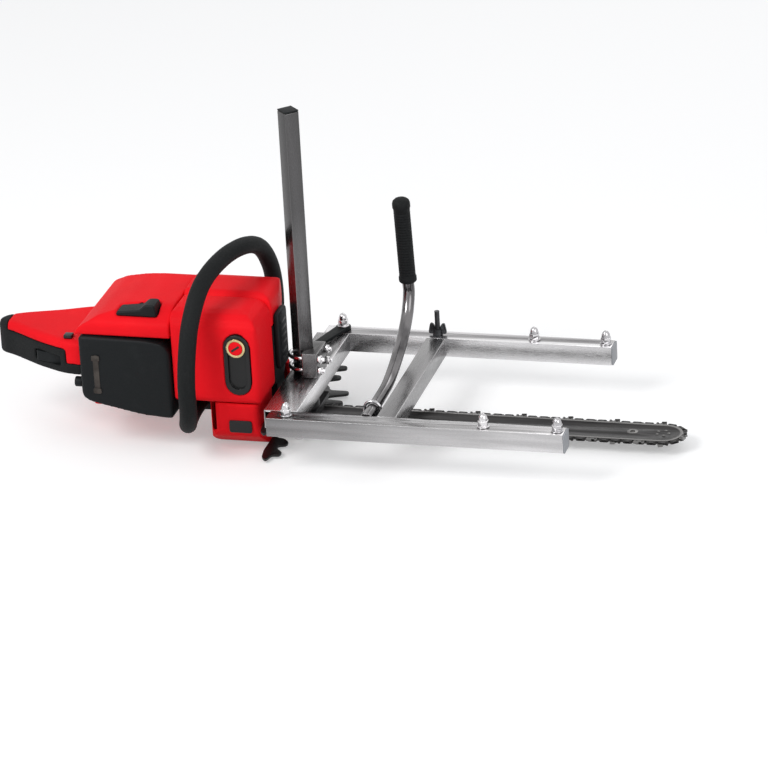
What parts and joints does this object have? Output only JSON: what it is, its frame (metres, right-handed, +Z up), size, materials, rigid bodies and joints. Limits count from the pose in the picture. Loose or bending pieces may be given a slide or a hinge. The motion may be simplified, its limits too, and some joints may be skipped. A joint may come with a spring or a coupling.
{
  "type": "chainsaw mill",
  "caption": "Sawing frame on a height post clamped to the bar of a petrol chainsaw lying on its side, with a push handle and rails that guide level cuts along a log.",
  "frame": {"origin": "middle of the inner cross tube's underside, on the plane that slides on the log", "axes": "+X along the rails from the saw towards the bar's nose, +Y from the near rail with three bolts to the far rail with the wing screw, +Z up along the height post"},
  "size_m": [1.0824, 0.3849, 0.525],
  "materials": {
    "bright_steel": "bright zinc",
    "chrome": "polished",
    "dark_steel": "oiled dark",
    "bar_steel": "satin",
    "red_plastic": "glossy red",
    "black_plastic": "satin black",
    "black_paint": "black",
    "rubber": "matt",
    "brass": "satin",
    "cast_alloy": "cast",
    "grey_plastic": "matt"
  },
  "bodies": {
    "saw": {"crankcase": "cast_alloy", "cylinder": "cast_alloy", "spark_plug": "bright_steel", "cylinder_cover": "red_plastic", "valve_well": "black_plastic", "valve_ring": "brass", "starter_cover": "red_plastic", "muffler": "black_paint", "rear_body": "red_plastic", "rear_grip": "black_plastic", "air_filter_cover": "black_plastic", "front_handle": "rubber", "clutch_cover": "red_plastic", "cover_plate": "black_plastic", "bar_nut_front": "bright_steel", "bar_nut_rear": "bright_steel", "guide_bar": "bar_steel", "saw_chain": "dark_steel", "inner_spike": "black_paint", "outer_spike": "black_paint", "upper_jaw": "bright_steel", "lower_jaw": "bright_steel", "clamp_bolt_near": "chrome", "clamp_bolt_far": "chrome", "height_post": "bright_steel", "post_cap": "black_plastic"},
    "frame": {"near_rail": "bright_steel", "far_rail": "bright_steel", "near_rail_cap": "grey_plastic", "far_rail_cap": "grey_plastic", "left_cross_channel": "bright_steel", "inner_cross_tube": "bright_steel", "near_bolt_left": "chrome", "near_bolt_middle": "chrome", "near_bolt_right": "chrome", "far_bolt_left": "chrome", "far_bolt_middle": "chrome", "far_bolt_right": "chrome", "post_saddle": "bright_steel", "post_u_bolt_lower": "chrome", "post_u_bolt_upper": "chrome", "handle_bracket": "dark_steel", "handle_u_bolt": "chrome"},
    "push_handle": {"push_handle_tube": "chrome", "push_handle_grip": "rubber"},
    "lock_lever": {"lock_lever": "black_plastic"},
    "wing_screw": {"wing_screw": "dark_steel"},
    "throttle_trigger": {"throttle_trigger": "black_plastic"},
    "throttle_lockout": {"throttle_lockout": "black_plastic"},
    "recoil_grip": {"recoil_grip": "black_plastic"},
    "valve_button": {"valve_button": "red_plastic"},
    "stop_switch": {"stop_switch": "black_plastic"},
    "fuel_cap": {"fuel_cap": "black_plastic"},
    "oil_cap": {"oil_cap": "black_plastic"},
    "choke_knob": {"choke_knob": "black_plastic"},
    "crank": {"crankshaft": "bright_steel", "flywheel": "cast_alloy", "clutch_drum": "dark_steel"},
    "nose_sprocket": {"nose_sprocket": "dark_steel"}
  },
  "joints": [
    {"name": "frame_height", "type": "slide", "parent": "saw", "child": "frame", "axis": [0, 0, 1], "range_m": [-0.008, 0.33]},
    {"name": "push_handle_swivel", "type": "hinge", "parent": "frame", "child": "push_handle", "pos_m": [-0.0325, -0.111, 0.0229], "axis": [0, 1, 0], "range_deg": [-35, 0]},
    {"name": "lock_lever_turn", "type": "hinge", "parent": "frame", "child": "lock_lever", "pos_m": [-0.153, 0.168, 0.033], "axis": [0, 0, 1], "range_deg": [0, 60]},
    {"name": "wing_screw_turn", "type": "hinge", "parent": "frame", "child": "wing_screw", "pos_m": [0, 0.168, 0.04], "axis": [0, 0, 1], "range_deg": [-90, 90]},
    {"name": "throttle_trigger_squeeze", "type": "hinge", "parent": "saw", "child": "throttle_trigger", "pos_m": [-0.525, -0.07202, 0.073], "axis": [0, 0, 1], "range_deg": [0, 12], "stiffness_Nm_per_rad": 0.3},
    {"name": "throttle_lockout_press", "type": "hinge", "parent": "saw", "child": "throttle_lockout", "pos_m": [-0.5308, -0.09407, 0.072], "axis": [0, 0, 1], "range_deg": [-10, 0], "stiffness_Nm_per_rad": 0.2},
    {"name": "recoil_grip_pull", "type": "slide", "parent": "saw", "child": "recoil_grip", "axis": [0, -1, 0], "range_m": [0, 0.014], "stiffness_N_per_m": 100},
    {"name": "valve_button_press", "type": "slide", "parent": "saw", "child": "valve_button", "axis": [0, 1, 0], "range_m": [0, 0.003], "stiffness_N_per_m": 300},
    {"name": "stop_switch_turn", "type": "hinge", "parent": "saw", "child": "stop_switch", "pos_m": [-0.516, -0.095, 0.105], "axis": [0, 0, 1], "range_deg": [0, 30]},
    {"name": "fuel_cap_turn", "type": "hinge", "parent": "saw", "child": "fuel_cap", "pos_m": [-0.395, 0.08, 0.1], "axis": [0, 1, 0], "range_deg": [0, 120]},
    {"name": "oil_cap_turn", "type": "hinge", "parent": "saw", "child": "oil_cap", "pos_m": [-0.311, 0.08, 0.07], "axis": [0, 1, 0], "range_deg": [0, 120]},
    {"name": "choke_pull", "type": "slide", "parent": "saw", "child": "choke_knob", "axis": [-1, 0, 0], "range_m": [0, 0.008]},
    {"name": "crank_spin", "type": "hinge", "parent": "saw", "child": "crank", "pos_m": [-0.257, 0, 0.05], "axis": [0, 0, 1], "continuous": true},
    {"name": "nose_sprocket_spin", "type": "hinge", "parent": "saw", "child": "nose_sprocket", "pos_m": [0.392, 0, -0.042], "axis": [0, 0, 1], "continuous": true}
  ],
  "couplings": [
    {"joint": "nose_sprocket_spin", "follows": "crank_spin", "ratio": 0.63636}
  ]
}
